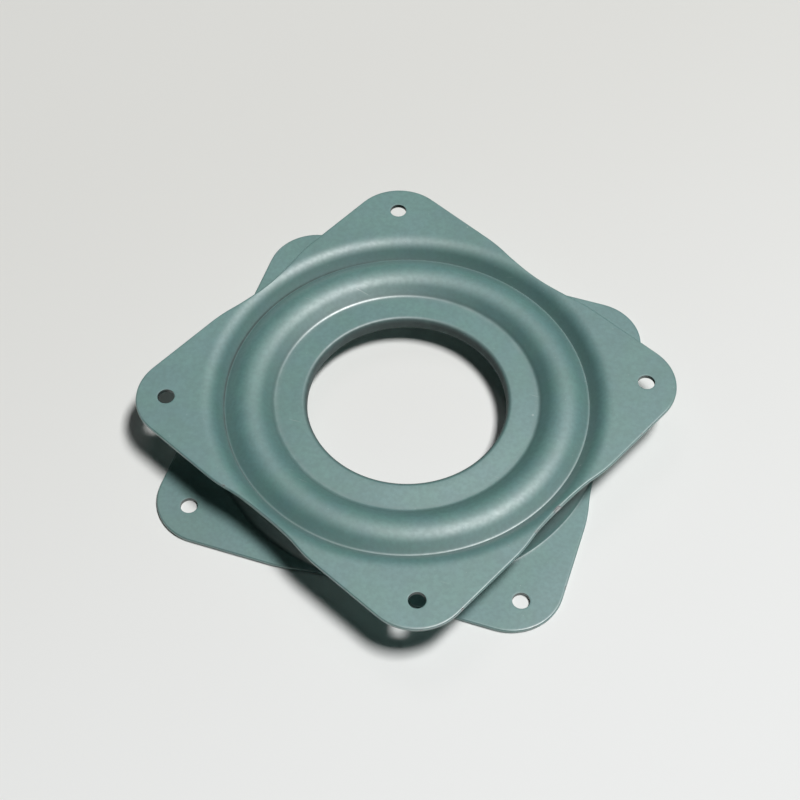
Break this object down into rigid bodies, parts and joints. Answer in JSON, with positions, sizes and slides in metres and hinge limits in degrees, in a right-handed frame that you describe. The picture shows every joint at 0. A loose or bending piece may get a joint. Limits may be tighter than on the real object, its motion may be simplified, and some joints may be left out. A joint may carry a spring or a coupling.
{
  "type": "lazy susan bearing",
  "caption": "Square turntable bearing: two pressed and painted steel plates with screw ears, a ring of loose balls in the race between them and a rolled hem round an open centre.",
  "frame": {"origin": "on the swivel axis, in the plane that the lower plate's ears stand on", "axes": "+Z along the swivel axis, from the lower plate to the upper one; X and Y square to the lower plate's sides"},
  "size_m": [0.0968, 0.0968, 0.0096],
  "materials": {
    "plate_paint": "satin",
    "ball_steel": "polished"
  },
  "bodies": {
    "lower_plate": {"lower_plate": "plate_paint"},
    "ball_train": {"ball_01": "ball_steel", "ball_02": "ball_steel", "ball_03": "ball_steel", "ball_04": "ball_steel", "ball_05": "ball_steel", "ball_06": "ball_steel", "ball_07": "ball_steel", "ball_08": "ball_steel", "ball_09": "ball_steel", "ball_10": "ball_steel", "ball_11": "ball_steel", "ball_12": "ball_steel", "ball_13": "ball_steel", "ball_14": "ball_steel", "ball_15": "ball_steel", "ball_16": "ball_steel", "ball_17": "ball_steel", "ball_18": "ball_steel", "ball_19": "ball_steel", "ball_20": "ball_steel", "ball_21": "ball_steel", "ball_22": "ball_steel", "ball_23": "ball_steel", "ball_24": "ball_steel", "ball_25": "ball_steel", "ball_26": "ball_steel", "ball_27": "ball_steel", "ball_28": "ball_steel"},
    "upper_plate": {"upper_plate": "plate_paint"}
  },
  "joints": [
    {"name": "swivel", "type": "hinge", "parent": "lower_plate", "child": "upper_plate", "pos_m": [0, 0, 0.0048], "axis": [0, 0, 1], "continuous": true},
    {"name": "ball_orbit", "type": "hinge", "parent": "lower_plate", "child": "ball_train", "pos_m": [0, 0, 0.0048], "axis": [0, 0, 1], "continuous": true}
  ],
  "couplings": [
    {"joint": "ball_orbit", "follows": "swivel", "ratio": 0.5}
  ]
}
